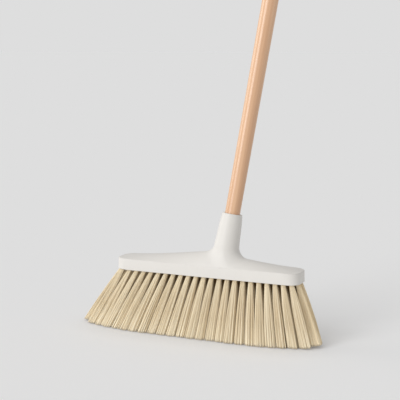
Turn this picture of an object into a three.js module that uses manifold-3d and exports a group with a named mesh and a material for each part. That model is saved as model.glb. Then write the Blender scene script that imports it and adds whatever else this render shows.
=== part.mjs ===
// Soft broom: a round wooden pole that screws into the leaning socket of a moulded head,
// with four rows of soft bristle tufts set in the head's underside. Millimetres, +Z up.
// The origin is on the floor, at the cut tip of the first tuft right of the third row's middle.
// +X runs along the head, and +Y points behind it, to the side that the pole leans to.

import * as THREE from "three";
import { mergeVertices } from "three/addons/utils/BufferGeometryUtils.js";
import Module from "manifold-3d";

// Driving dimensions: the head's plate
const headLength = 285;
const headDepth = 46;
const headCornerRadius = 17;
const bandHeight = 16.5; // the upright band round the plate
const bandDraft = 0.5; // how much further out the band stands at its lower edge
const bandEdgeRound = 0.8;
const headShiftRight = 17; // from the middle of the bristles' footprint to the plate's middle
const endCrown = 2; // height of the plate's ridge above the band at both ends
const shoulderRiseLeft = 18.9; // and where it meets the collar's foot
const shoulderRiseRight = 12.8;
const ridgePower = 1.3; // above 1, the ridge is hollow between its end and the collar

// Driving dimensions: the socket collar, measured along its own axis from the band's top
const socketOffset = 23; // from the plate's middle to the axis, to the right
const socketLeanRight = 7.5; // degrees
const socketLeanBack = 7.7; // degrees
const collarTop = 75;
const collarFoot = 28; // where the collar starts to flare into the plate
const collarFootInset = 4.8; // its foot stands this far inside the band's front and back
const collarWall = 3.3; // at the rim
const collarRimRound = 0.8;
const collarSwell = 2.5; // how far the curve of the collar is pulled out below the rim
const collarSwellShare = 0.65; // and how far up from the foot that is
const collarWaistDraw = 1.7; // how far it is drawn in above the foot
const collarWaistShare = 0.37;
const filletReach = 13;
const filletShare = 0.92; // the most that the fillet takes of the way from the collar to the outline
const leastFilletTurnShare = 0.3; // where that way is short, the fillet stops this steep

// Driving dimensions: the pole, and the screw tip pressed on its spigot
const poleLength = 1200; // from the shoulder inside the socket to the top
const poleDiameter = 24;
const poleNeckDiameter = 21.8;
const poleTaperLength = 450; // from the collar's rim up
const poleSeatDepth = 22; // how far the pole's shoulder sits below the collar's rim
const poleDomeHeight = 9;
const poleDomeFlatDiameter = 4;
const spigotDiameter = 14;
const spigotLength = 24;
const tipDiameter = 20.5;
const tipFloor = 10; // from the spigot's end to the tip's lower end
const tipLeadLength = 3;
const tipLeadInset = 1.7;

// Driving dimensions: the bristles
const bristleHeight = 90; // from the floor to the head's underside
const tuftsInOuterRow = 23; // an inner row has one more, so its tufts stand between the outer row's
const tuftEndMargin = 0.5; // at least, from a row's last strand to the end of its backing
const tuftRootSpread = 1.6; // from a tuft's middle strand to its outer ones, in X and in Y
const tuftTipSpreadX = 4.1;
const tuftTipSpreadY = 5.2;
const strandRootRadius = 0.85;
const strandTipRadius = 1.45;
const strandRootDepth = 1.2; // how far a strand is fused into its backing
const footprintLength = 376;
const footprintDepth = 72;
const footprintStraightShare = 0.4; // its front and back are straight for this share of their length
const footprintEndInset = 19; // and from there they are drawn in by this much at the ends
const footprintEndPower = 2.2;
const outerRowInset = 3.4; // how much sooner than its roots' line the outer rows' footprint ends

// Driving dimensions: fits and walls
const clearance = 0.3;
const recessWall = 2.2;
const backingHeight = 6;
const socketMouthChamfer = 0.6;
const overrun = 2; // how far a cutting solid reaches past what it cuts

// Facets and other counts
const compassPoints = 96; // points round the head, one for each direction from the socket's axis
const compassShare = 0.32; // how much the plate is shortened where those directions are taken
const collarSteps = 8;
const filletSteps = 9;
const plateSteps = 7;
const roundSegments = 40;
const cornerSegments = 10;
const domeSteps = 5;
const backingEndSteps = 4;
const strandSides = 4;
const bisections = 40;

const degree = Math.PI / 180;
const quarterTurn = Math.PI / 2;
const fullTurn = Math.PI * 2;
const bandTop = bristleHeight + bandHeight;
const collarRimRadius = poleNeckDiameter / 2 + clearance + collarWall;
const collarFootRadius = headDepth / 2 - collarFootInset;
const poleShoulder = collarTop - poleSeatDepth + clearance;
const tipTop = poleShoulder - clearance;
const tipBottom = poleShoulder - spigotLength - tipFloor;

const wasm = await Module();
wasm.setup();

// A closed geometry as a solid that can be joined and cut
function solidOf(geometry) {
  const bare = geometry.clone();
  bare.deleteAttribute("normal");
  bare.deleteAttribute("uv");
  const merged = mergeVertices(bare);
  return new wasm.Manifold(
    new wasm.Mesh({
      numProp: 3,
      vertProperties: new Float32Array(merged.attributes.position.array),
      triVerts: new Uint32Array(merged.index.array),
    }),
  );
}

// The same solid back as a geometry
function geometryOf(solid) {
  const mesh = solid.getMesh();
  const geometry = new THREE.BufferGeometry();
  geometry.setAttribute("position", new THREE.BufferAttribute(mesh.vertProperties, 3));
  geometry.setIndex(new THREE.BufferAttribute(mesh.triVerts, 1));
  geometry.computeVertexNormals();
  return geometry;
}

// A closed skin through rings that have equal counts of points, listed from the top down,
// each counter-clockwise seen from above, with a fan to a centre point at both ends
function loftOf(rings, topCentre, bottomCentre) {
  const count = rings[0].length;
  const points = [...rings.flat(), topCentre, bottomCentre];
  const topIndex = points.length - 2;
  const bottomIndex = points.length - 1;
  const lastRing = (rings.length - 1) * count;
  const index = [];
  for (let i = 0; i < count; i++) {
    const next = (i + 1) % count;
    index.push(topIndex, i, next);
    index.push(bottomIndex, lastRing + next, lastRing + i);
    for (let ring = 0; ring < lastRing; ring += count) {
      const below = ring + count;
      index.push(ring + i, below + i, below + next);
      index.push(ring + i, below + next, ring + next);
    }
  }
  const geometry = new THREE.BufferGeometry().setFromPoints(points);
  geometry.setIndex(index);
  return geometry;
}

// A solid of revolution about +Z, from [radius, height] pairs that go up from the axis and back to it
function turnedOf(profile) {
  const points = profile.map(([radius, height]) => new THREE.Vector2(radius, height));
  return new THREE.LatheGeometry(points, roundSegments).rotateX(quarterTurn);
}

// The socket's frame in the head: its origin is on the band's top, and +Z runs up the leaning axis
const upright = new THREE.Vector3(0, 0, 1);
const socketPlace = new THREE.Vector3(socketOffset, 0, bandTop);
const socketAxis = new THREE.Vector3(
  Math.tan(socketLeanRight * degree),
  Math.tan(socketLeanBack * degree),
  1,
).normalize();
const socketTurn = new THREE.Quaternion().setFromUnitVectors(upright, socketAxis);
const socketMatrix = new THREE.Matrix4()
  .makeRotationFromQuaternion(socketTurn)
  .setPosition(socketPlace);

// The plate's outline is a rectangle with round corners
const straightHalfLength = headLength / 2 - headCornerRadius;
const straightHalfDepth = headDepth / 2 - headCornerRadius;

function distanceOutside(x, y) {
  const pastX = Math.max(Math.abs(x) - straightHalfLength, 0);
  const pastY = Math.max(Math.abs(y) - straightHalfDepth, 0);
  return Math.hypot(pastX, pastY) - headCornerRadius;
}

// How far the outline, moved out by offset, reaches: along X at a given y, and along Y at a given x
function roundedReach(straightReach, past, offset) {
  const radius = headCornerRadius + offset;
  const beside = THREE.MathUtils.clamp(past, 0, radius);
  return straightReach + Math.sqrt(radius * radius - beside * beside);
}
const halfLengthAt = (y, offset) =>
  roundedReach(straightHalfLength, Math.abs(y) - straightHalfDepth, offset);
const halfDepthAt = (x, offset) =>
  roundedReach(straightHalfDepth, Math.abs(x) - straightHalfLength, offset);

// Directions from the socket's axis, and the outline's point in each, with the outline moved out
const compass = Array.from({ length: compassPoints }, (_, i) => (fullTurn * i) / compassPoints);

function outlinePoint(angle, offset) {
  const stepX = Math.cos(angle) / compassShare;
  const stepY = Math.sin(angle);
  let inside = 0;
  let outside = headLength;
  for (let i = 0; i < bisections; i++) {
    const middle = (inside + outside) / 2;
    if (distanceOutside(socketOffset + middle * stepX, middle * stepY) < offset) inside = middle;
    else outside = middle;
  }
  return new THREE.Vector2(socketOffset + inside * stepX, inside * stepY);
}

function outlineRing(offset, z) {
  return compass.map((angle) => {
    const point = outlinePoint(angle, offset);
    return new THREE.Vector3(point.x, point.y, z);
  });
}

function collarRing(radius, height) {
  return compass.map((angle) =>
    new THREE.Vector3(radius * Math.cos(angle), radius * Math.sin(angle), height).applyMatrix4(
      socketMatrix,
    ),
  );
}

// The plate's crown: a ridge climbs from both ends to the collar's foot, and it falls off in an
// arch to the outline
function ridgeAt(x) {
  const fromSocket = x - socketOffset;
  const side = fromSocket < 0 ? -1 : 1;
  const pastFoot = Math.abs(fromSocket) - collarFootRadius;
  if (pastFoot < 0) {
    const footShare = (1 + fromSocket / collarFootRadius) / 2;
    return THREE.MathUtils.lerp(shoulderRiseLeft, shoulderRiseRight, footShare);
  }
  const riseAtFoot = fromSocket < 0 ? shoulderRiseLeft : shoulderRiseRight;
  const slopeLength = headLength / 2 - side * socketOffset - collarFootRadius;
  const climbShare = Math.max(1 - pastFoot / slopeLength, 0);
  return THREE.MathUtils.lerp(endCrown, riseAtFoot, Math.pow(climbShare, ridgePower));
}

function crownAt(x, y) {
  const halfDepth = halfDepthAt(x, -bandEdgeRound);
  const widestHalfDepth = halfDepthAt(0, -bandEdgeRound);
  const archShare = (halfDepth * halfDepth - y * y) / (widestHalfDepth * widestHalfDepth);
  return bandTop + ridgeAt(x) * Math.max(archShare, 0);
}

// A ring of the plate's top: each point lies some share of the way from the collar's foot to the
// band's rim, and stands off the crown by a share of the height that the foot has over it
function shoulderRing(foot, rim, wayShares, standShares) {
  return foot.map((start, i) => {
    const x = THREE.MathUtils.lerp(start.x, rim[i].x, wayShares[i]);
    const y = THREE.MathUtils.lerp(start.y, rim[i].y, wayShares[i]);
    const stand = (start.z - crownAt(start.x, start.y)) * standShares[i];
    return new THREE.Vector3(x, y, crownAt(x, y) + stand);
  });
}

// The head's outer skin: rings down the collar, out through its fillet, over the crown to the
// band's rim, and down the band
function headSkin() {
  const collarEdge = collarTop - collarRimRound;
  const heightAt = (share) => THREE.MathUtils.lerp(collarFoot, collarEdge, share);
  const collarCurve = new THREE.CubicBezierCurve(
    new THREE.Vector2(collarRimRadius, collarEdge),
    new THREE.Vector2(collarRimRadius + collarSwell, heightAt(collarSwellShare)),
    new THREE.Vector2(collarFootRadius - collarWaistDraw, heightAt(collarWaistShare)),
    new THREE.Vector2(collarFootRadius, collarFoot),
  );
  const rings = [collarRing(collarRimRadius - collarRimRound, collarTop)];
  for (const point of collarCurve.getPoints(collarSteps)) rings.push(collarRing(point.x, point.y));

  const foot = rings.at(-1);
  const rim = outlineRing(-bandEdgeRound, bandTop);
  const ways = foot.map((start, i) => Math.hypot(rim[i].x - start.x, rim[i].y - start.y));
  const filletShares = ways.map((way) => Math.min(filletReach / way, filletShare));
  const filletTurns = ways.map(
    (way) => quarterTurn * THREE.MathUtils.clamp(way / filletReach, leastFilletTurnShare, 1),
  );
  for (let step = 1; step <= filletSteps; step++) {
    const turns = filletTurns.map((turn) => (turn * step) / filletSteps);
    const out = filletShares.map(
      (share, i) => (share * (1 - Math.cos(turns[i]))) / (1 - Math.cos(filletTurns[i])),
    );
    const stand = turns.map((turn, i) => 1 - Math.sin(turn) / Math.sin(filletTurns[i]));
    rings.push(shoulderRing(foot, rim, out, stand));
  }
  for (let step = 1; step <= plateSteps; step++) {
    const out = filletShares.map((share) => share + ((1 - share) * step) / plateSteps);
    const stand = foot.map(() => 0);
    rings.push(shoulderRing(foot, rim, out, stand));
  }
  rings.push(outlineRing(0, bandTop - bandEdgeRound));
  rings.push(outlineRing(bandDraft, bristleHeight + bandEdgeRound));
  rings.push(outlineRing(bandDraft - bandEdgeRound, bristleHeight));
  const topCentre = new THREE.Vector3(0, 0, collarTop).applyMatrix4(socketMatrix);
  return loftOf(rings, topCentre, new THREE.Vector3(0, 0, bristleHeight));
}

// What is cut from the head: a stepped bore for the pole's neck and its screw tip
function socketBore() {
  const neckBore = poleNeckDiameter / 2 + clearance;
  const tipBore = tipDiameter / 2 + clearance;
  return turnedOf([
    [0, tipBottom - clearance],
    [tipBore, tipBottom - clearance],
    [tipBore, tipTop],
    [neckBore, tipTop],
    [neckBore, collarTop - socketMouthChamfer],
    [neckBore + socketMouthChamfer, collarTop],
    [neckBore + socketMouthChamfer, collarTop + overrun],
    [0, collarTop + overrun],
  ]).applyMatrix4(socketMatrix);
}

// And a recess in the underside that takes the bristle backings
function backingRecess() {
  const outline = new THREE.Shape();
  const corners = [
    [1, 1],
    [-1, 1],
    [-1, -1],
    [1, -1],
  ];
  corners.forEach(([sideX, sideY], i) => {
    const start = quarterTurn * i;
    const radius = headCornerRadius - recessWall;
    const centreX = sideX * straightHalfLength;
    const centreY = sideY * straightHalfDepth;
    outline.absarc(centreX, centreY, radius, start, start + quarterTurn, false);
  });
  return new THREE.ExtrudeGeometry(outline, {
    depth: backingHeight + clearance + overrun,
    bevelEnabled: false,
    curveSegments: cornerSegments,
  }).translate(0, 0, bristleHeight - overrun);
}

function mouldedHead() {
  return geometryOf(
    solidOf(headSkin()).subtract(solidOf(socketBore())).subtract(solidOf(backingRecess())),
  );
}

// The screw tip: a plug with a lead-in at its lower end and a hole for the pole's spigot
function poleScrewTip() {
  const hole = spigotDiameter / 2 + clearance;
  const holeBottom = poleShoulder - spigotLength - clearance;
  return turnedOf([
    [0, tipBottom],
    [tipDiameter / 2 - tipLeadInset, tipBottom],
    [tipDiameter / 2, tipBottom + tipLeadLength],
    [tipDiameter / 2, tipTop],
    [hole, tipTop],
    [hole, holeBottom],
    [0, holeBottom],
  ]);
}

// The pole: a spigot, a shoulder, a neck that widens above the collar, and a domed top
function pole() {
  const top = poleShoulder + poleLength;
  const flatRadius = poleDomeFlatDiameter / 2;
  const dome = [];
  for (let step = 0; step <= domeSteps; step++) {
    const turn = (quarterTurn * step) / domeSteps;
    const radius = THREE.MathUtils.lerp(flatRadius, poleDiameter / 2, Math.cos(turn));
    dome.push([radius, top - poleDomeHeight * (1 - Math.sin(turn))]);
  }
  return turnedOf([
    [0, poleShoulder - spigotLength],
    [spigotDiameter / 2, poleShoulder - spigotLength],
    [spigotDiameter / 2, poleShoulder],
    [poleNeckDiameter / 2, poleShoulder],
    [poleNeckDiameter / 2, collarTop],
    [poleDiameter / 2, collarTop + poleTaperLength],
    ...dome,
    [0, top],
  ]);
}

// The four rows of tufts: each has a strip of backing across the head, and its tufts fan out
// from there to the floor
const rows = [
  "bristle_row_front",
  "bristle_row_front_inner",
  "bristle_row_rear_inner",
  "bristle_row_rear",
];
const backingInset = recessWall + clearance;
const backingsHalfDepth = headDepth / 2 - backingInset;
const rowPitch = (2 * backingsHalfDepth + clearance) / rows.length;
const backingDepth = rowPitch - clearance;
const rowFrontEdge = (row) => row * rowPitch - backingsHalfDepth;
const rowMiddle = (row) => rowFrontEdge(row) + backingDepth / 2;

// Where a tuft is rooted, from the head's middle: the pitch is the widest that leaves the last
// tuft of every row on its backing
const isOuter = (row) => row === 0 || row === rows.length - 1;
const tuftsIn = (row) => (isOuter(row) ? tuftsInOuterRow : tuftsInOuterRow + 1);
const pitchesToEnd = (row) => (tuftsIn(row) - 1) / 2;
const tuftRootRadius = tuftRootSpread + strandRootRadius;

function widestPitch(row) {
  const outerSide = Math.abs(rowMiddle(row)) + tuftRootRadius;
  const backingEnd = halfLengthAt(outerSide, -backingInset);
  return (backingEnd - tuftRootRadius - tuftEndMargin) / pitchesToEnd(row);
}
const tuftPitch = Math.min(...rows.map((_, row) => widestPitch(row)));
const lastRootX = tuftPitch * Math.max(...rows.map((_, row) => pitchesToEnd(row)));
const lastRootY = rowMiddle(rows.length - 1);

const tuftRoot = (row, tuft) =>
  new THREE.Vector2((tuft - pitchesToEnd(row)) * tuftPitch, rowMiddle(row));

// Where its strands end on the floor: the tufts fan out, less so at the footprint's corners
const fanX = (footprintLength / 2 - tuftTipSpreadX - strandTipRadius) / lastRootX;
const fanY = (footprintDepth / 2 - tuftTipSpreadY - strandTipRadius) / lastRootY;
const endInsetShare = footprintEndInset / (footprintDepth / 2);

function strandTip(root, shareX, shareY) {
  const endShare = root.x / lastRootX;
  const sideShare = root.y / lastRootY;
  const inset = headShiftRight + outerRowInset * endShare * sideShare * sideShare;
  const pastStraight = Math.max(Math.abs(endShare) - footprintStraightShare, 0);
  const curveShare = pastStraight / (1 - footprintStraightShare);
  const narrowing = 1 - endInsetShare * Math.pow(curveShare, footprintEndPower);
  return new THREE.Vector2(
    fanX * root.x + tuftTipSpreadX * shareX - inset,
    (fanY * root.y + tuftTipSpreadY * shareY) * narrowing,
  );
}

// A strand is a slanted prism whose two end faces are level, so that its tip lies flat on the floor
function strand(root, tip) {
  const corners = Array.from({ length: strandSides }, (_, i) => (fullTurn * (i + 0.5)) / strandSides);
  const ring = (x, y, z, radius) =>
    corners.map(
      (angle) => new THREE.Vector3(x + radius * Math.cos(angle), y + radius * Math.sin(angle), z),
    );
  const rootZ = bristleHeight + strandRootDepth;
  return loftOf(
    [ring(root.x, root.y, rootZ, strandRootRadius), ring(tip.x, tip.y, 0, strandTipRadius)],
    new THREE.Vector3(root.x, root.y, rootZ),
    new THREE.Vector3(tip.x, tip.y, 0),
  );
}

// The places of a tuft's five strands, in spreads from its middle
const strandPlaceShares = [
  [0, 0],
  [-1, -1],
  [1, -1],
  [-1, 1],
  [1, 1],
];

function backing(row) {
  const front = rowFrontEdge(row);
  const rightEnd = [];
  for (let step = 0; step <= backingEndSteps; step++) {
    const y = front + (backingDepth * step) / backingEndSteps;
    rightEnd.push(new THREE.Vector2(halfLengthAt(y, -backingInset), y));
  }
  const leftEnd = rightEnd.map((point) => new THREE.Vector2(-point.x, point.y)).reverse();
  return new THREE.ExtrudeGeometry(new THREE.Shape([...rightEnd, ...leftEnd]), {
    depth: backingHeight,
    bevelEnabled: false,
  }).translate(0, 0, bristleHeight);
}

function bristleRow(row) {
  let solid = solidOf(backing(row));
  for (let tuft = 0; tuft < tuftsIn(row); tuft++) {
    const middle = tuftRoot(row, tuft);
    for (const [shareX, shareY] of strandPlaceShares) {
      const root = new THREE.Vector2(shareX, shareY).multiplyScalar(tuftRootSpread).add(middle);
      solid = solid.add(solidOf(strand(root, strandTip(middle, shareX, shareY))));
    }
  }
  return geometryOf(solid);
}

const plastic = new THREE.MeshStandardMaterial({ color: 0xe3e0d8, roughness: 0.55, metalness: 0 });
const tipPlastic = new THREE.MeshStandardMaterial({ color: 0xd8d5cc, roughness: 0.5, metalness: 0 });
const wood = new THREE.MeshStandardMaterial({ color: 0xd9a87c, roughness: 0.4, metalness: 0 });
const bristle = new THREE.MeshStandardMaterial({ color: 0xc49a63, roughness: 0.8, metalness: 0 });

function meshOf(name, geometry, material) {
  const mesh = new THREE.Mesh(geometry, material);
  mesh.name = name;
  return mesh;
}

const originRow = 2;
const originTip = strandTip(tuftRoot(originRow, tuftsIn(originRow) / 2), 0, 0);

const broom = new THREE.Group();
const head = new THREE.Group();
head.position.set(-originTip.x, -originTip.y, 0);
broom.add(head);
head.add(meshOf("moulded_head", mouldedHead(), plastic));
rows.forEach((name, row) => head.add(meshOf(name, bristleRow(row), bristle)));

const socket = new THREE.Group();
socket.position.copy(socketPlace);
socket.quaternion.copy(socketTurn);
head.add(socket);
socket.add(meshOf("pole_screw_tip", poleScrewTip(), tipPlastic));
socket.add(meshOf("pole", pole(), wood));

export default broom;
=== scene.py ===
import math

import bpy
import numpy as np
from mathutils import Matrix, Vector


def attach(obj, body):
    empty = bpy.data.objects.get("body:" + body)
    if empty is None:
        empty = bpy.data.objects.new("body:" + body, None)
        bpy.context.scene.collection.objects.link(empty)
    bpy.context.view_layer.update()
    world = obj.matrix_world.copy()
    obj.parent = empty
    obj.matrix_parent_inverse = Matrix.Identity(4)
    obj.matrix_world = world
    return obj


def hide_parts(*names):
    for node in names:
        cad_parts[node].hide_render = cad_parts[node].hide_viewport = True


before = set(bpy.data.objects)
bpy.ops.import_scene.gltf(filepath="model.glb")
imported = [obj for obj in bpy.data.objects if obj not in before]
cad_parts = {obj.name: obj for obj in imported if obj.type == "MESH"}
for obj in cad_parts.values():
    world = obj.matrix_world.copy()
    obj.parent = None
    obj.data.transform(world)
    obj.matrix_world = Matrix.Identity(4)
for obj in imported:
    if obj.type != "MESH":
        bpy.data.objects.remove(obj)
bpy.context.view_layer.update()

# A soft broom on a pale studio floor: a turned wooden pole in the leaning socket of a moulded
# head, over four rows of soft bristle tufts. Lengths are in metres.


# The camera, where the photograph was taken from

CAMERA_PLACE = (0.562867, -1.321695, 0.417415)
CAMERA_TURN = math.radians(23.402)  # to the left of straight ahead
CAMERA_FALL = math.radians(8.711)  # below the horizon
CAMERA_LENS = 90  # in millimetres, as the film's width is
CAMERA_FILM = 36
CAMERA_SIGHT = 200  # how far it sees, in metres

camera = bpy.data.objects.new("camera", bpy.data.cameras.new("camera"))
camera.location = CAMERA_PLACE
camera.rotation_euler = (math.pi / 2 - CAMERA_FALL, 0, CAMERA_TURN)
camera.data.lens = CAMERA_LENS
camera.data.sensor_width = CAMERA_FILM
camera.data.clip_end = CAMERA_SIGHT
bpy.context.scene.collection.objects.link(camera)
bpy.context.scene.camera = camera


# Sizes of the broom, as its solids have them

SOCKET_PLACE = Vector((0.032084, -0.009783, 0.1065))
SOCKET_AXIS = Vector((0.129369, 0.132860, 0.982655))
SOCKET = Matrix.Translation(SOCKET_PLACE) @ SOCKET_AXIS.to_track_quat("Z", "Y").to_matrix().to_4x4()

HEAD_MIDDLE = Vector((0.009084, -0.009783))
HEAD_LENGTH = 0.285
HEAD_DEPTH = 0.046
CORNER_RADIUS = 0.017
UNDERSIDE = 0.090  # this height and the next are over the floor
BAND_TOP = 0.1065

COLLAR_TOP = 0.075  # this height and the next two are on the socket's axis
POLE_SHOULDER = 0.0533
POLE_TOP = 1.2533
POLE_RADIUS = 0.012
NECK_RADIUS = 0.0109
SPIGOT_RADIUS = 0.007
SPIGOT_LENGTH = 0.024
SPIGOT_CLEARANCE = 0.0003  # from the screw tip, on all sides


# Working in edit mode

def only(piece):
    """Nothing but this piece is selected, and it is the active one."""
    bpy.ops.object.select_all(action="DESELECT")
    piece.select_set(True)
    bpy.context.view_layer.objects.active = piece


def pick_edges(piece, wanted):
    """In edit mode, with only the edges that wanted(one end, other end) says yes to."""
    only(piece)
    bpy.context.tool_settings.mesh_select_mode = (False, True, False)
    mesh = piece.data
    mesh.vertices.foreach_set("select", [False] * len(mesh.vertices))
    mesh.polygons.foreach_set("select", [False] * len(mesh.polygons))
    for edge in mesh.edges:
        edge.select = wanted(*(mesh.vertices[i].co for i in edge.vertices))
    bpy.ops.object.mode_set(mode="EDIT")


def apply_modifier(piece, kind, **settings):
    only(piece)
    modifier = piece.modifiers.new(kind.lower(), kind)
    for name, value in settings.items():
        setattr(modifier, name, value)
    bpy.ops.object.modifier_apply(modifier=modifier.name)


def settle(piece, place=None):
    """The piece is moved to its place, with the place in its mesh and its faces outwards."""
    only(piece)
    if place is not None:
        piece.matrix_world = place @ piece.matrix_world
    bpy.ops.object.transform_apply()
    bpy.ops.object.mode_set(mode="EDIT")
    bpy.ops.mesh.select_all(action="SELECT")
    bpy.ops.mesh.normals_make_consistent(inside=False)
    bpy.ops.object.mode_set(mode="OBJECT")


def join(pieces):
    """The pieces are joined to the first of them."""
    bpy.ops.object.select_all(action="DESELECT")
    for piece in pieces:
        piece.select_set(True)
    bpy.context.view_layer.objects.active = pieces[0]
    bpy.ops.object.join()
    return pieces[0]


def smooth(piece, degrees):
    only(piece)
    bpy.ops.object.shade_smooth_by_angle(angle=math.radians(degrees))


def turned(name, profile, sides):
    """A solid turned about +Z: a disc at the first of the (height, radius) pairs, drawn up
    through the rest."""
    height, radius = profile[0]
    bpy.ops.object.select_all(action="DESELECT")
    bpy.ops.mesh.primitive_circle_add(
        vertices=sides, radius=radius, fill_type="NGON", location=(0, 0, height)
    )
    piece = bpy.context.object
    piece.name = piece.data.name = name
    bpy.ops.object.mode_set(mode="EDIT")
    for next_height, next_radius in profile[1:]:
        bpy.ops.mesh.extrude_region_move(
            TRANSFORM_OT_translate={"value": (0, 0, next_height - height)}
        )
        share = next_radius / radius
        bpy.ops.transform.resize(value=(share, share, 1), center_override=(0, 0, next_height))
        height, radius = next_height, next_radius
    bpy.ops.object.mode_set(mode="OBJECT")
    return piece


# Finishes: the shader's maths is written with the operators of Value

MIX_FACTOR, MIX_FIRST, MIX_SECOND = 0, 6, 7  # a Mix node's inputs when it mixes colours
MIX_RESULT = 2  # and its output


class Value:
    """An output of a node. An expression on values adds its Math nodes."""

    def __init__(self, nodes, socket):
        self.nodes = nodes
        self.socket = socket

    def maths(self, operation, first, second):
        return self.nodes.node("ShaderNodeMath", {"operation": operation}, {0: first, 1: second})

    def __add__(self, other):
        return self.maths("ADD", self, other)

    def __radd__(self, other):
        return self.maths("ADD", other, self)

    def __sub__(self, other):
        return self.maths("SUBTRACT", self, other)

    def __rsub__(self, other):
        return self.maths("SUBTRACT", other, self)

    def __mul__(self, other):
        return self.maths("MULTIPLY", self, other)

    def __rmul__(self, other):
        return self.maths("MULTIPLY", other, self)


class Nodes:
    """The nodes of a material or the world, and the shader that they feed. The numbers in plain
    are the same everywhere, so they stand on the shader's own sockets."""

    def __init__(self, owner, shader, plain):
        owner.use_nodes = True
        self.tree = owner.node_tree
        self.shader = self.tree.nodes[shader]
        for socket, value in plain.items():
            self.shader.inputs[socket.replace("_", " ")].default_value = value

    def node(self, kind, settings=None, inputs=None, output=0):
        """A new node's output: its settings come first, then the values or links of its inputs."""
        made = self.tree.nodes.new(kind)
        for name, value in (settings or {}).items():
            setattr(made, name, value)
        for name, value in (inputs or {}).items():
            if isinstance(value, Value):
                self.tree.links.new(value.socket, made.inputs[name])
            else:
                made.inputs[name].default_value = value
        return Value(self, made.outputs[output])

    def feed(self, socket, value):
        self.tree.links.new(value.socket, self.shader.inputs[socket])

    def between(self, share, first, second):
        """A colour that runs from the first to the second as share goes from 0 to 1."""
        return self.node(
            "ShaderNodeMix",
            {"data_type": "RGBA", "clamp_factor": True},
            {MIX_FACTOR: share, MIX_FIRST: first, MIX_SECOND: second},
            MIX_RESULT,
        )


class Finish(Nodes):
    """A material."""

    def __init__(self, name, **plain):
        self.material = bpy.data.materials.new(name)
        super().__init__(self.material, "Principled BSDF", plain)

    def place(self):
        return self.node("ShaderNodeTexCoord", output="Object")

    def attribute(self, name):
        return self.node("ShaderNodeAttribute", {"attribute_name": name}, output="Fac")

    def noise(self, place, scale, detail, roughness=0.5):
        return self.node(
            "ShaderNodeTexNoise",
            {"noise_dimensions": "3D"},
            {"Vector": place, "Scale": scale, "Detail": detail, "Roughness": roughness},
            "Fac",
        )

    def drawn_out(self, place, scales, detail, roughness=0.5):
        """Noise with its own scale along each of X, Y and Z."""
        scaled = self.node("ShaderNodeVectorMath", {"operation": "MULTIPLY"}, {0: place, 1: scales})
        return self.noise(scaled, 1.0, detail, roughness)

    def span(self, value, low, high):
        """The value's range from low to high, laid out smoothly from 0 to 1."""
        return self.node(
            "ShaderNodeMapRange",
            {"interpolation_type": "SMOOTHSTEP"},
            {"Value": value, "From Min": low, "From Max": high},
        )

    def bump(self, height, strength, distance):
        bumped = {"Strength": strength, "Distance": distance, "Height": height}
        self.feed("Normal", self.node("ShaderNodeBump", {}, bumped))


def rgb(red, green, blue):
    """A screen colour, of 0 to 255 a channel, as the shader's own numbers."""
    def linear(channel):
        share = channel / 255
        return share / 12.92 if share <= 0.04045 else ((share + 0.055) / 1.055) ** 2.4
    return (linear(red), linear(green), linear(blue), 1.0)


def head_plastic():
    """Warm white moulded plastic with a fine satin grain."""
    finish = Finish("moulded_white_plastic", Roughness=0.45, IOR=1.47)
    place = finish.place()
    clouds = finish.noise(place, scale=22, detail=3)
    grain = finish.noise(place, scale=2600, detail=3)
    finish.feed("Base Color", finish.between(clouds, rgb(225, 221, 215), rgb(229, 226, 221)))
    finish.feed("Roughness", 0.40 + 0.10 * clouds + 0.05 * grain)
    finish.bump(grain, strength=0.12, distance=0.0001)
    return finish.material


def tip_plastic():
    """The screw tip's plastic, a little greyer and slicker than the head's."""
    finish = Finish("screw_tip_plastic", IOR=1.47)
    place = finish.place()
    clouds = finish.noise(place, scale=60, detail=2)
    grain = finish.noise(place, scale=1500, detail=2)
    finish.feed("Base Color", finish.between(clouds, rgb(214, 211, 203), rgb(222, 219, 211)))
    finish.feed("Roughness", 0.34 + 0.10 * clouds)
    finish.bump(grain, strength=0.10, distance=0.0001)
    return finish.material


def pole_wood():
    """Pale turned wood under satin lacquer: long soft streaks and fine short pores."""
    finish = Finish(
        "lacquered_pole_wood", IOR=1.5, Specular_IOR_Level=0.0, Coat_Roughness=0.28, Coat_IOR=1.75
    )
    along = finish.node(
        "ShaderNodeMapping",
        {"vector_type": "TEXTURE"},
        {
            "Vector": finish.place(),
            "Location": SOCKET_PLACE,
            "Rotation": SOCKET.to_euler("XYZ"),
        },
    )
    streaks = finish.drawn_out(along, (150, 150, 2.4), detail=4, roughness=0.55)
    broad = finish.drawn_out(along, (38, 38, 1.2), detail=2)
    pores = finish.drawn_out(along, (1500, 1500, 42), detail=2, roughness=0.6)
    tone = finish.span(0.6 * streaks + 0.4 * broad, low=0.36, high=0.64)
    wood = finish.between(tone, rgb(216, 169, 130), rgb(234, 191, 153))
    dark_pores = finish.span(pores, low=0.60, high=0.78)
    finish.feed("Base Color", finish.between(0.22 * dark_pores, wood, rgb(176, 122, 82)))
    finish.feed("Roughness", 0.36 + 0.12 * streaks)
    finish.feed("Coat Weight", 0.9 - 0.3 * dark_pores)
    finish.bump(streaks - 0.5 * dark_pores, strength=0.10, distance=0.0002)
    return finish.material


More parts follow.
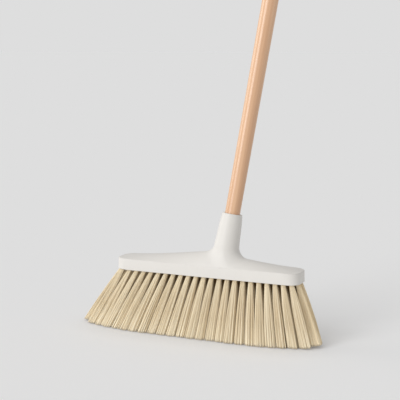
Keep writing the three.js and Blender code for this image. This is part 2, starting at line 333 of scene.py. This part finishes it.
def bristle_filament():
    """Straw-coloured filaments, each with its own tone, with painted shade where their neighbours
    shade them and painted light near the roots, and paler frayed ends that are partly painted
    light; they also glow faintly, which is painted light too.
    """
    finish = Finish(
        "straw_bristle_filament", IOR=1.4, Specular_IOR_Level=0.2, Emission_Strength=0.09
    )
    tone = finish.attribute("filament_tone_and_painted_light")
    shade = finish.attribute("filament_shade")
    pale = finish.between(tone, rgb(212, 190, 151), rgb(250, 237, 209))
    # Painted shade: the colour turns to a dark brown where filament_shade gives the shade of the
    # neighbouring tufts and rows.
    straw = finish.between(shade, pale, rgb(92, 64, 8))
    finish.feed("Base Color", straw)
    # The filaments glow faintly in this colour: painted light, standing in for light let through by
    # them.
    finish.feed("Emission Color", straw)
    finish.feed("Roughness", 0.42 + 0.16 * tone)
    return finish.material


def finished(piece, material):
    piece.data.materials.clear()
    piece.data.materials.append(material)


# The places of the tufts: four rows, of which the inner ones have a tuft more

TUFTS_IN_ROW = (23, 24, 24, 23)
TUFT_ROWS = len(TUFTS_IN_ROW)
ROW_PITCH = 0.010325
TUFT_PITCH = 0.0118892
TIP_REACH = (0.0078, 0.0090)  # half of a tuft's width and depth on the floor
FOOTPRINT_LENGTH = 0.376
FOOTPRINT_DEPTH = 0.072
HEAD_SHIFT = 0.017  # from the middle of the bristles' footprint to the head's middle
STRAIGHT_SHARE = 0.4  # of the footprint's long sides, from their middle
END_INSET = 0.019  # how far those sides have drawn in at the footprint's ends
END_POWER = 2.2  # and how late they do it
OUTER_ROW_INSET = 0.0034  # how far the outer rows stop short of the inner ones at both ends

last_root_x = TUFT_PITCH * (max(TUFTS_IN_ROW) - 1) / 2
last_root_y = ROW_PITCH * (TUFT_ROWS - 1) / 2


def tuft_roots(row):
    """The roots of a row's tufts, from the head's middle."""
    places = np.arange(TUFTS_IN_ROW[row]) - (TUFTS_IN_ROW[row] - 1) / 2
    across = (row - (TUFT_ROWS - 1) / 2) * ROW_PITCH
    return np.stack([places * TUFT_PITCH, np.full(len(places), across)], axis=1)


def tuft_tips(roots, spread):
    """Where the tufts end on the floor, from the head's middle. spread is the place in the
    tuft, from -1 to 1 each way."""
    fan_x = (FOOTPRINT_LENGTH / 2 - TIP_REACH[0]) / last_root_x
    fan_y = (FOOTPRINT_DEPTH / 2 - TIP_REACH[1]) / last_root_y
    end_share = roots[:, 0] / last_root_x
    side_share = roots[:, 1] / last_root_y
    inset = HEAD_SHIFT + OUTER_ROW_INSET * end_share * side_share**2
    curved = np.maximum(np.abs(end_share) - STRAIGHT_SHARE, 0) / (1 - STRAIGHT_SHARE)
    narrowing = 1 - END_INSET / (FOOTPRINT_DEPTH / 2) * curved**END_POWER
    x = fan_x * roots[:, 0] + TIP_REACH[0] * spread[:, 0] - inset
    y = (fan_y * roots[:, 1] + TIP_REACH[1] * spread[:, 1]) * narrowing
    return np.stack([x, y], axis=1)


# The head: the solid's own skin, closed below by a plate with a hole for each tuft

MERGE_DISTANCE = 2e-6
SAME_HEIGHT = 2e-5  # a point this near the band's upper edge is on it
CREASE_BEVEL = 0.0012  # along that edge
CREASE_STEPS = 2
HOLE_RADIUS = 0.0033
HOLE_DEPTH = 0.003
HOLE_SIDES = 16
DRILL_OVERRUN = 0.002
PLATE_THICKNESS = 0.0068
PLATE_RISE = 0.0003  # from the band's lower edge to the plate's underside
PLATE_INSET = 0.0016  # from the band to the plate's edge, which is set in the wall
CORNER_STEPS = 10


def merged_copy(node, name):
    """A copy of a solid's mesh with its loose triangles joined up."""
    piece = bpy.data.objects.new(name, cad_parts[node].data.copy())
    bpy.context.scene.collection.objects.link(piece)
    only(piece)
    bpy.ops.mesh.customdata_custom_splitnormals_clear()
    bpy.ops.object.mode_set(mode="EDIT")
    bpy.ops.mesh.select_all(action="SELECT")
    bpy.ops.mesh.remove_doubles(threshold=MERGE_DISTANCE)
    bpy.ops.object.mode_set(mode="OBJECT")
    return piece


def underside_plate():
    bpy.ops.object.select_all(action="DESELECT")
    bpy.ops.mesh.primitive_cube_add(
        size=1,
        location=(*HEAD_MIDDLE, UNDERSIDE + PLATE_RISE + PLATE_THICKNESS / 2),
        scale=(HEAD_LENGTH - 2 * PLATE_INSET, HEAD_DEPTH - 2 * PLATE_INSET, PLATE_THICKNESS),
    )
    plate = bpy.context.object
    plate.name = "underside_plate"
    bpy.ops.object.transform_apply()
    pick_edges(plate, lambda one, other: abs(one.z - other.z) > PLATE_THICKNESS / 2)
    bpy.ops.mesh.bevel(offset=CORNER_RADIUS - PLATE_INSET, segments=CORNER_STEPS, affect="EDGES")
    bpy.ops.object.mode_set(mode="OBJECT")
    return plate


def tuft_holes():
    """All the drills for the tuft holes as one piece."""
    depths = (UNDERSIDE - DRILL_OVERRUN, UNDERSIDE + HOLE_DEPTH)
    first = turned("tuft_holes", [(depth, HOLE_RADIUS) for depth in depths], HOLE_SIDES)
    settle(first)
    drills = []
    for row in range(TUFT_ROWS):
        for x, y in tuft_roots(row):
            drill = first.copy()
            drill.data = first.data.copy()
            drill.data.transform(Matrix.Translation((x + HEAD_MIDDLE.x, y + HEAD_MIDDLE.y, 0)))
            bpy.context.scene.collection.objects.link(drill)
            drills.append(drill)
    bpy.data.objects.remove(first)
    return join(drills)


def moulded_head(material):
    head = merged_copy("moulded_head", "broom_head")
    for operation, tool in (("UNION", underside_plate()), ("DIFFERENCE", tuft_holes())):
        apply_modifier(head, "BOOLEAN", operation=operation, solver="EXACT", object=tool)
        bpy.data.objects.remove(tool)
    pick_edges(
        head, lambda one, other: max(abs(end.z - BAND_TOP) for end in (one, other)) < SAME_HEIGHT
    )
    bpy.ops.mesh.bevel(
        offset=CREASE_BEVEL, segments=CREASE_STEPS, affect="EDGES", clamp_overlap=True
    )
    bpy.ops.object.mode_set(mode="OBJECT")
    smooth(head, degrees=50)
    apply_modifier(head, "WEIGHTED_NORMAL", mode="FACE_AREA", weight=50, keep_sharp=True)
    finished(head, material)
    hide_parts("moulded_head")
    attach(head, "head")


# The bristles: one filament is drawn once, and each tuft is a bundle of bent copies of it

ROW_NAMES = ("front", "front_inner", "rear_inner", "rear")
FIRST_SEED = 11

# A filament, from its root to its frayed end, which is the fuller one: shares of its length, and
# how thick it is there, in shares of its radius
FILAMENT_STATIONS = (
    (0, 0.6), (0.07, 0.6), (0.18, 0.7), (0.36, 0.85), (0.62, 1.1), (0.97, 1.3), (1, 1.2)
)
FILAMENT_SIDES = 3
FILAMENT_RADIUS = 0.00034
THICKNESSES = (0.85, 1.2)  # of the thinnest filament and the thickest, in shares of that
FILAMENT_BOW = 0.00030  # how far it bends aside between its ends

# A tuft
FILAMENTS_IN_TUFT = 180
ROOT_HEIGHT = UNDERSIDE + 0.0025
ROOT_RADIUS = 0.0031
TUFT_OPENING = 1.9  # how early in its length it opens out
TUFT_SQUARENESS = 4  # of its outline on the floor, where 2 is round
LOCKS_ACROSS = 5  # its filaments cling together in locks, this many each way
LOCK_PULL = 0.45  # and are drawn this far to their lock's middle, at the tips
FILAMENT_STRAY = 0.00035  # how far a tip is out of its place in the tuft
TUFT_STRAY = 0.0005  # how far the tuft is out of its place in the row

# Where it is cut: the lowest tips' height over the floor, how much the cut may rise or fall from
# the tuft's middle to its side, and how uneven it is
CUT_HEIGHT = 0.0003
CUT_SLANT = 0.0002
CUT_ROUGHNESS = 0.0002

# The outermost tips at both ends of the field, over this length, splay out this far and stand
# this high off the floor, but less so at the left end
END_REACH = 0.030
END_SPLAY = 0.003
END_ROUNDING = 0.005
LEFT_SHARE = 0.4
MOST_REACH = 1.2  # past this share of the length, a tip splays no more

# Tones run from 0, the darker straw, to 1. They differ by this much from filament to filament,
# from lock to lock and from tuft to tuft
MIDDLE_TONE = 0.5
FILAMENT_TONE = 0.18
LOCK_TONE = 0.09
TUFT_TONE = 0.03

# Shares of a filament's length, and how much paler it is there: near the root, which is painted
# light against the shade under the head, and again at the frayed end, which is paler straw lifted
# further by painted light
PALER_AND_PAINTED_LIGHT = ((0.18, 0.36), (0.55, 0.08), (0.97, 0.46))

# Painted shades run from 0, in the open, to 1
SHADE_REACH = (0.08, 0.52)  # shares of its length between which the shade of the rows fades
INNER_SHADE = 0.25  # what is left of it at the floor
OPEN_TUFTS = (6, 1)  # tufts that it takes to reach its full strength from the left and right end
FLANK_SHADE = 0.9  # in the narrow gap between two tufts
FLANK_REACH = (0.78, 0.98)  # places in a tuft, from its middle, between which that comes in
CUT_SHADE = 0.28  # painted shade where the filament is cut


def filament():
    """A filament of height 1 and radius 1, from its root down to its tip."""
    profile = [(-share, radius) for share, radius in FILAMENT_STATIONS]
    piece = turned("filament", profile, FILAMENT_SIDES)
    settle(piece)
    return piece


def tuft_places():
    """Places in a tuft, on a disc of radius 1, laid out evenly."""
    order = np.arange(FILAMENTS_IN_TUFT)
    radius = np.sqrt((order + 0.5) / FILAMENTS_IN_TUFT)
    angle = order * math.pi * (3 - math.sqrt(5))
    return np.stack([radius * np.cos(angle), radius * np.sin(angle)], axis=1)


def each(tuft_values):
    """What holds for the tufts of a row, for each of their filaments."""
    return np.repeat(tuft_values, FILAMENTS_IN_TUFT, axis=0)


def bundles(row, chance):
    """For each filament of a row: its tuft's root, its place in the tuft, and its lock. The
    tufts are turned at random."""
    tufts = TUFTS_IN_ROW[row]
    turn = each(chance.uniform(0, 2 * math.pi, tufts))
    base = np.tile(tuft_places(), (tufts, 1))
    x, y = base.T
    spread = np.stack(
        [x * np.cos(turn) - y * np.sin(turn), x * np.sin(turn) + y * np.cos(turn)], axis=1
    )
    cells = np.floor((base + 1) * LOCKS_ACROSS / 2)
    locks = (cells[:, 0] + LOCKS_ACROSS * cells[:, 1]).astype(int)
    locks += each(np.arange(tufts) * LOCKS_ACROSS**2)
    return each(tuft_roots(row)), spread, locks


def clung(spread, locks):
    """Places in a tuft, drawn to their lock's middle."""
    sizes = np.maximum(np.bincount(locks), 1)
    middles = [np.bincount(locks, spread[:, i]) / sizes for i in range(2)]
    return spread + LOCK_PULL * (np.stack(middles, axis=1)[locks] - spread)


def squared(spread):
    """Places on a disc moved out on to a square with round corners."""
    corner = (np.abs(spread) ** TUFT_SQUARENESS).sum(axis=1) ** (1 / TUFT_SQUARENESS)
    return spread * (np.hypot(spread[:, 0], spread[:, 1]) / corner)[:, None]


def splay(roots, ends):
    """How far the ends splay, in shares of the full splay."""
    reach = np.abs(ends[:, 0] + HEAD_SHIFT) - (FOOTPRINT_LENGTH / 2 - END_REACH)
    side_share = np.where(roots[:, 0] < 0, LEFT_SHARE, 1)
    return np.clip(reach / END_REACH, 0, MOST_REACH) ** 2 * side_share


def row_points(drawn, roots, spread, locks, chance):
    """The points of a row's filaments: the drawn one's, bent from each root to its tip."""
    count = len(roots)
    tufts = count // FILAMENTS_IN_TUFT
    centres = tuft_tips(roots, 0 * spread)
    offsets = tuft_tips(roots, squared(clung(spread, locks))) - centres
    offsets += chance.normal(0, FILAMENT_STRAY, (count, 2))
    centres += each(chance.normal(0, TUFT_STRAY, (tufts, 2)))
    bow = chance.normal(0, FILAMENT_BOW, (count, 2))
    splayed = splay(roots, centres + offsets)
    offsets[:, 0] += np.copysign(END_SPLAY * splayed, roots[:, 0])
    askew = each(chance.uniform(-1, 1, tufts)) * spread[:, 0]
    tips = END_ROUNDING * splayed + CUT_HEIGHT + CUT_SLANT * (1 + askew)
    tips += np.abs(chance.normal(0, CUT_ROUGHNESS, count))
    thick = FILAMENT_RADIUS * chance.uniform(*THICKNESSES, count)

    # The first axis is the filament, the second its point, and the third X, Y or Z
    share = -drawn[:, 2:]
    opening = 1 - (1 - share) ** TUFT_OPENING
    path = roots[:, None] + (centres - roots)[:, None] * share
    path += ROOT_RADIUS * spread[:, None] * (1 - opening)
    path += offsets[:, None] * opening
    path += bow[:, None] * np.sin(math.pi * share)
    path += thick[:, None, None] * drawn[:, :2]
    path += np.array(HEAD_MIDDLE)
    heights = ROOT_HEIGHT + (tips - ROOT_HEIGHT)[:, None, None] * share
    return np.concatenate([path, heights], axis=2).reshape(-1, 3)


def row_tones_and_painted_light(share, locks, chance):
    """The tone at each point of a row's filaments, with the painted light near the root and at the
    frayed end.
    """
    count = len(locks)
    tufts = count // FILAMENTS_IN_TUFT
    tuft_tone = each(chance.normal(0, TUFT_TONE, tufts))
    lock_tone = chance.normal(0, LOCK_TONE, tufts * LOCKS_ACROSS**2)[locks]
    own_tone = chance.normal(MIDDLE_TONE, FILAMENT_TONE, count)
    tone = np.clip(own_tone + lock_tone + tuft_tone, 0, 1)
    return (tone[:, None] + np.interp(share, *zip(*PALER_AND_PAINTED_LIGHT))).ravel()


def row_shades(share, roots, spread, inner):
    """The deepest of three painted shades at each point: among the rows, between two tufts and at
    the cut."""
    x = roots[:, 0]
    open_tufts = np.where(x < 0, *OPEN_TUFTS)
    inside = np.clip((last_root_x - np.abs(x)) / (open_tufts * TUFT_PITCH), 0, 1) * inner
    near_root = np.interp(share, SHADE_REACH, (1, INNER_SHADE))
    flank = np.interp(np.abs(spread[:, 0]), FLANK_REACH, (0, FLANK_SHADE))
    in_end_tuft = np.abs(x) > np.abs(x).max() - TUFT_PITCH / 2
    flank[in_end_tuft & (x * spread[:, 0] > 0)] = 0
    cut = np.interp(share, (FILAMENT_STATIONS[-2][0], 1), (0, CUT_SHADE))
    shade = np.maximum(inside[:, None] * near_root, flank[:, None])
    return np.maximum(shade, cut).ravel()


def bristle_row(row, one, material):
    """A whole row of tufts, made of copies of the one filament."""
    chance = np.random.default_rng(FIRST_SEED + row)
    roots, spread, locks = bundles(row, chance)
    count = len(roots)
    drawn = np.array([vertex.co for vertex in one.data.vertices])
    faces = [tuple(face.vertices) for face in one.data.polygons]
    share = -drawn[:, 2]

    name = "bristles_" + ROW_NAMES[row]
    mesh = bpy.data.meshes.new(name)
    mesh.from_pydata(
        row_points(drawn, roots, spread, locks, chance).tolist(),
        [],
        [tuple(i + k * len(drawn) for i in face) for k in range(count) for face in faces],
    )
    along = [len(face) == 4 for face in faces]  # the others close the filament's ends
    mesh.polygons.foreach_set("use_smooth", along * count)
    looks = {
        "filament_tone_and_painted_light": row_tones_and_painted_light(share, locks, chance),
        "filament_shade": row_shades(share, roots, spread, ROW_NAMES[row].endswith("inner")),
    }
    for look, values in looks.items():
        stored = mesh.attributes.new(look, "FLOAT", "POINT")
        stored.data.foreach_set("value", values.astype(np.float32))
    piece = bpy.data.objects.new(name, mesh)
    bpy.context.scene.collection.objects.link(piece)
    finished(piece, material)
    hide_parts("bristle_row_" + ROW_NAMES[row])
    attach(piece, "head")


# The pole, and the screw tip on its spigot

POLE_SIDES = 96
TAPER_LENGTH = 0.450  # from the collar's top to the pole's full radius
SHOULDER_CHAMFER = 0.0004
SPIGOT_CHAMFER = 0.0006
DOME_HEIGHT = 0.009
DOME_FLAT = 0.002  # the radius of its flat top
DOME_STEPS = 10

TIP_SIDES = 64
TIP_RADIUS = 0.0087  # without its thread
TIP_FLOOR = 0.010  # from the spigot's end to the tip's
LEAD_LENGTH = 0.002
LEAD_RADIUS = 0.0073
THREAD_PITCH = 0.005
THREAD_TURNS = 5
THREAD_STEPS = 48  # in each turn
THREAD_START = 0.0225  # on the socket's axis
THREAD_MIDDLE = 0.0085  # from the axis to the middle of its section
THREAD_REACH = 0.0018  # from there to the section's corners

spigot_end = POLE_SHOULDER - SPIGOT_LENGTH


def pole(material):
    quarter = [math.pi / 2 * step / DOME_STEPS for step in range(DOME_STEPS + 1)]
    dome = [
        (
            POLE_TOP - DOME_HEIGHT * (1 - math.sin(turn)),
            DOME_FLAT + (POLE_RADIUS - DOME_FLAT) * math.cos(turn),
        )
        for turn in quarter
    ]
    profile = [
        (spigot_end, SPIGOT_RADIUS - SPIGOT_CHAMFER),
        (spigot_end + SPIGOT_CHAMFER, SPIGOT_RADIUS),
        (POLE_SHOULDER, SPIGOT_RADIUS),
        (POLE_SHOULDER, NECK_RADIUS - SHOULDER_CHAMFER),
        (POLE_SHOULDER + SHOULDER_CHAMFER, NECK_RADIUS),
        (COLLAR_TOP, NECK_RADIUS),
        (COLLAR_TOP + TAPER_LENGTH, POLE_RADIUS),
        *dome,
    ]
    piece = turned("wooden_pole", profile, POLE_SIDES)
    settle(piece, SOCKET)
    smooth(piece, degrees=30)
    finished(piece, material)
    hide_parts("pole")
    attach(piece, "pole")


def tip_thread():
    """The thread: a square on its corner, drawn up round the axis and closed at both ends."""
    bpy.ops.object.select_all(action="DESELECT")
    bpy.ops.mesh.primitive_circle_add(
        vertices=4,
        radius=THREAD_REACH,
        location=(THREAD_MIDDLE, 0, THREAD_START),
        rotation=(math.pi / 2, 0, 0),
    )
    thread = bpy.context.object
    bpy.ops.object.transform_apply()
    apply_modifier(
        thread,
        "SCREW",
        angle=2 * math.pi,
        screw_offset=THREAD_PITCH,
        iterations=THREAD_TURNS,
        steps=THREAD_STEPS,
        render_steps=THREAD_STEPS,
        use_merge_vertices=False,
        axis="Z",
    )
    bpy.ops.object.mode_set(mode="EDIT")
    bpy.ops.mesh.select_all(action="DESELECT")
    bpy.ops.mesh.select_mode(type="EDGE")
    bpy.ops.mesh.select_non_manifold()
    bpy.ops.mesh.edge_face_add()
    bpy.ops.object.mode_set(mode="OBJECT")
    settle(thread)
    return thread


def screw_tip(material):
    """A plug with a raised thread, hollow for the spigot."""
    tip_end = spigot_end - TIP_FLOOR
    tip_top = POLE_SHOULDER - SPIGOT_CLEARANCE
    hollow = SPIGOT_RADIUS + SPIGOT_CLEARANCE
    profile = [
        (tip_end, LEAD_RADIUS),
        (tip_end + LEAD_LENGTH, TIP_RADIUS),
        (tip_top, TIP_RADIUS),
        (tip_top, hollow),
        (spigot_end - SPIGOT_CLEARANCE, hollow),
    ]
    core = turned("pole_thread", profile, TIP_SIDES)
    settle(core)
    join([core, tip_thread()])
    settle(core, SOCKET)
    smooth(core, degrees=40)
    finished(core, material)
    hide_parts("pole_screw_tip")
    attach(core, "screw_tip")


# The studio: a pale floor that runs on into a backdrop of its own colour, a tall soft key light
# from the front left, a weak one from the left side, and even light from all round

BACKDROP = rgb(222, 222, 222)
ROUND_LIGHT = 0.485

# Each lamp's height over the floor, its bearing to the left of the camera and its width, in
# degrees, and what a white surface that faces it gives back
LAMPS = {
    "key_low": (12, 50, 30, 0.265),
    "key_high": (40, 50, 36, 0.25),
    "side": (15, 108, 30, 0.13),
}

FLOOR_SIZE = 160
FLOOR_DROP = 0.0002  # below the broom
FLOOR_GLOW = 0.22  # the share of the floor's own light, which softens the shadows on it
CONTACT_REACH = 0.05
CONTACT_SHADE = 0.3  # painted shade: how far the floor turns to this colour where the broom covers its sky
CONTACT_COLOUR = rgb(0, 45, 105)  # a cool painted shade, against the straw-coloured light from the bristles
CONTACT_SAMPLES = 8


def hang_lamps():
    """The three lamps. What a white floor gives back of all the light is returned."""
    on_floor = ROUND_LIGHT
    for name, (height, bearing, width, light) in LAMPS.items():
        lamp = bpy.data.objects.new(name, bpy.data.lights.new(name, "SUN"))
        lamp.data.energy = light * math.pi
        lamp.data.angle = math.radians(width)
        lamp.rotation_euler = (math.radians(90 - height), 0, CAMERA_TURN - math.radians(bearing))
        bpy.context.scene.collection.objects.link(lamp)
        on_floor += light * math.sin(math.radians(height))
    return on_floor


def lay_floor(on_floor):
    bpy.ops.object.select_all(action="DESELECT")
    bpy.ops.mesh.primitive_plane_add(size=FLOOR_SIZE, location=(0, 0, -FLOOR_DROP))
    floor = bpy.context.object
    floor.name = "floor"
    ground = Finish(
        "studio_floor", Roughness=1.0, Specular_IOR_Level=0.0, Emission_Strength=FLOOR_GLOW
    )
    open_sky = ground.node(
        "ShaderNodeAmbientOcclusion",
        {"samples": CONTACT_SAMPLES},
        {"Distance": CONTACT_REACH},
        "AO",
    )
    # Painted shade: the floor darkens towards CONTACT_COLOUR where the broom covers its sky.
    shade = CONTACT_SHADE * (1 - open_sky)
    for socket, share in (("Base Color", (1 - FLOOR_GLOW) / on_floor), ("Emission Color", 1)):
        colour = tuple(channel * share for channel in BACKDROP[:3]) + (1.0,)
        ground.feed(socket, ground.between(shade, colour, CONTACT_COLOUR))
    finished(floor, ground.material)


def light_all_round():
    """The even light, which looks like the backdrop where it is seen, mirrored or looked at
    through something."""
    world = bpy.data.worlds.new("studio")
    bpy.context.scene.world = world
    sky = Nodes(world, "Background", {"Strength": 1.0})
    seen = sky.node("ShaderNodeLightPath", output="Is Camera Ray")
    for kind in ("Is Glossy Ray", "Is Transmission Ray"):
        ray = sky.node("ShaderNodeLightPath", output=kind)
        seen = seen.maths("MAXIMUM", seen, ray)
    even = (ROUND_LIGHT, ROUND_LIGHT, ROUND_LIGHT, 1.0)
    sky.feed("Color", sky.between(seen, even, BACKDROP))


moulded_head(head_plastic())
straw = bristle_filament()
one_filament = filament()
for row in range(TUFT_ROWS):
    bristle_row(row, one_filament, straw)
bpy.data.objects.remove(one_filament)
pole(pole_wood())
screw_tip(tip_plastic())
lay_floor(hang_lamps())
light_all_round()
bpy.context.scene.view_settings.view_transform = "Standard"
